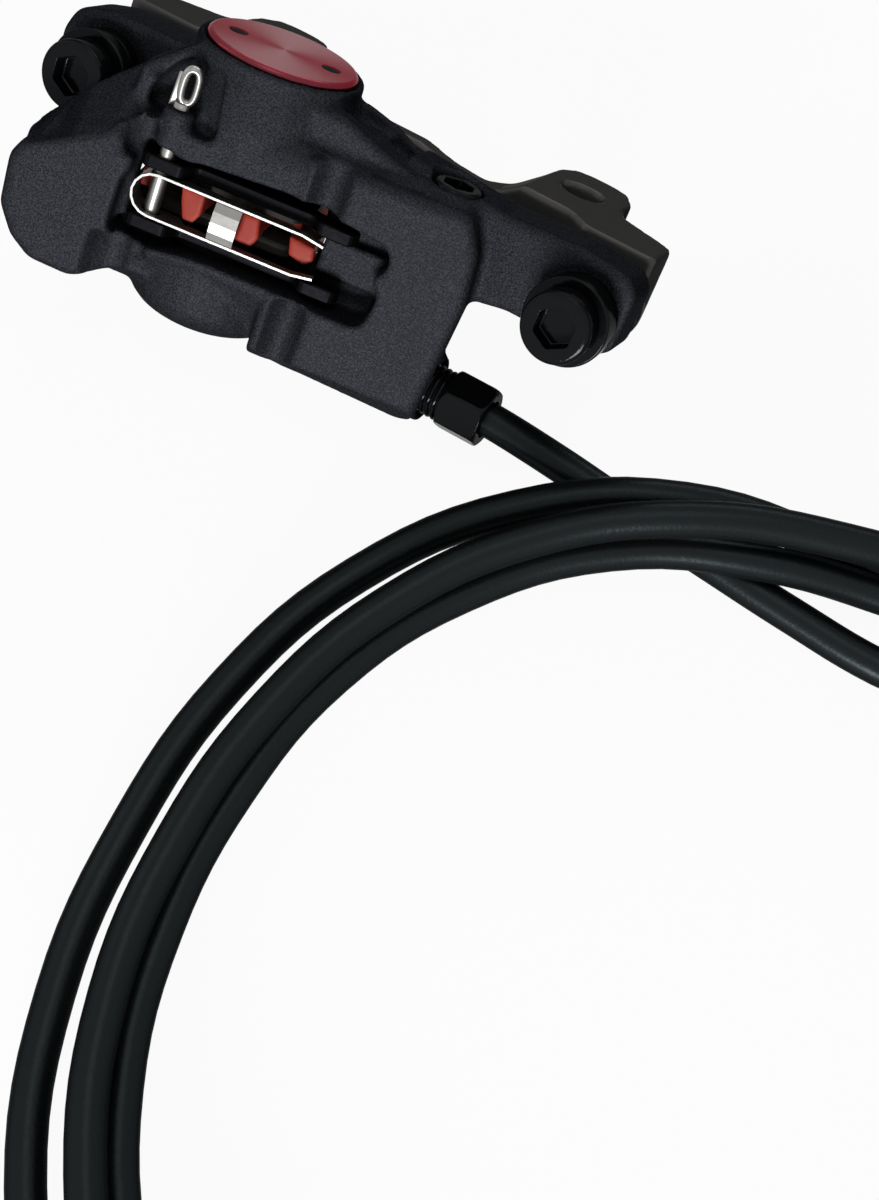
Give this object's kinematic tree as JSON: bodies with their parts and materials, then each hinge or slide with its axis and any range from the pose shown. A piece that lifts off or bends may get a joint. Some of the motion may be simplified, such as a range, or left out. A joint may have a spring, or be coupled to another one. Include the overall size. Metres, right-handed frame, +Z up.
{
  "type": "hydraulic disc brake",
  "caption": "Post mount hydraulic bicycle disc brake caliper with pads and transport spacer, on a frame adapter, with its brake hose in a coil.",
  "frame": {"origin": "on the surface that the brake rests on, under the middle of the box of its rigid pieces", "axes": "+X from the left mount bolt to the right one, +Z up; the pistons run along (0, 0.629, 0.777) and the mount bolts along (0, -0.777, 0.629)"},
  "size_m": [0.231, 0.1877, 0.0418],
  "materials": {
    "cast_black": "satin black textured casting",
    "adapter_black": "smooth satin black",
    "gloss_black": "gloss black plated steel",
    "red_anodised": "red anodised",
    "bright_steel": "bright spring steel",
    "rubber": "black seal rubber",
    "phenolic": "dark phenolic",
    "dark_steel": "black oxide",
    "lining": "resin friction material",
    "orange_plastic": "orange red polypropylene",
    "hose_black": "semi matte black hose jacket",
    "brass": "plain brass"
  },
  "bodies": {
    "caliper": {"caliper_body": "cast_black", "bore_cap": "red_anodised", "bore_cap_oring": "rubber", "outboard_piston_seal": "rubber", "inboard_piston_seal": "rubber", "pad_spring": "bright_steel", "pad_pin": "bright_steel", "transport_spacer": "orange_plastic", "bleed_screw": "gloss_black", "bleed_screw_oring": "rubber", "mount_adapter": "adapter_black", "brake_hose": "hose_black", "hose_nut": "gloss_black", "hose_olive": "brass", "hose_insert": "bright_steel", "lever_hose_nut": "gloss_black", "lever_hose_olive": "brass", "lever_hose_insert": "bright_steel", "left_mount_bolt": "gloss_black", "left_upper_cup_washer": "gloss_black", "left_upper_ball_washer": "gloss_black", "left_lower_ball_washer": "gloss_black", "left_lower_cup_washer": "gloss_black", "right_mount_bolt": "gloss_black", "right_upper_cup_washer": "gloss_black", "right_upper_ball_washer": "gloss_black", "right_lower_ball_washer": "gloss_black", "right_lower_cup_washer": "gloss_black"},
    "outboard_piston": {"outboard_piston": "phenolic"},
    "inboard_piston": {"inboard_piston": "phenolic"},
    "outboard_pad": {"outboard_pad_plate": "dark_steel", "outboard_pad_lining": "lining"},
    "inboard_pad": {"inboard_pad_plate": "dark_steel", "inboard_pad_lining": "lining"}
  },
  "joints": [
    {"name": "outboard_piston_slide", "type": "slide", "parent": "caliper", "child": "outboard_piston", "axis": [0, 0.6293, 0.7771], "range_m": [-0.00025, 0.0007]},
    {"name": "inboard_piston_slide", "type": "slide", "parent": "caliper", "child": "inboard_piston", "axis": [0, -0.6293, -0.7771], "range_m": [-0.00025, 0.0007]},
    {"name": "outboard_pad_slide", "type": "slide", "parent": "caliper", "child": "outboard_pad", "axis": [0, 0.6293, 0.7771], "range_m": [-0.00025, 0.0007]},
    {"name": "inboard_pad_slide", "type": "slide", "parent": "caliper", "child": "inboard_pad", "axis": [0, -0.6293, -0.7771], "range_m": [-0.00025, 0.0007]}
  ],
  "couplings": [
    {"joint": "inboard_piston_slide", "follows": "outboard_piston_slide", "ratio": 1},
    {"joint": "outboard_pad_slide", "follows": "outboard_piston_slide", "ratio": 1},
    {"joint": "inboard_pad_slide", "follows": "outboard_piston_slide", "ratio": 1}
  ]
}
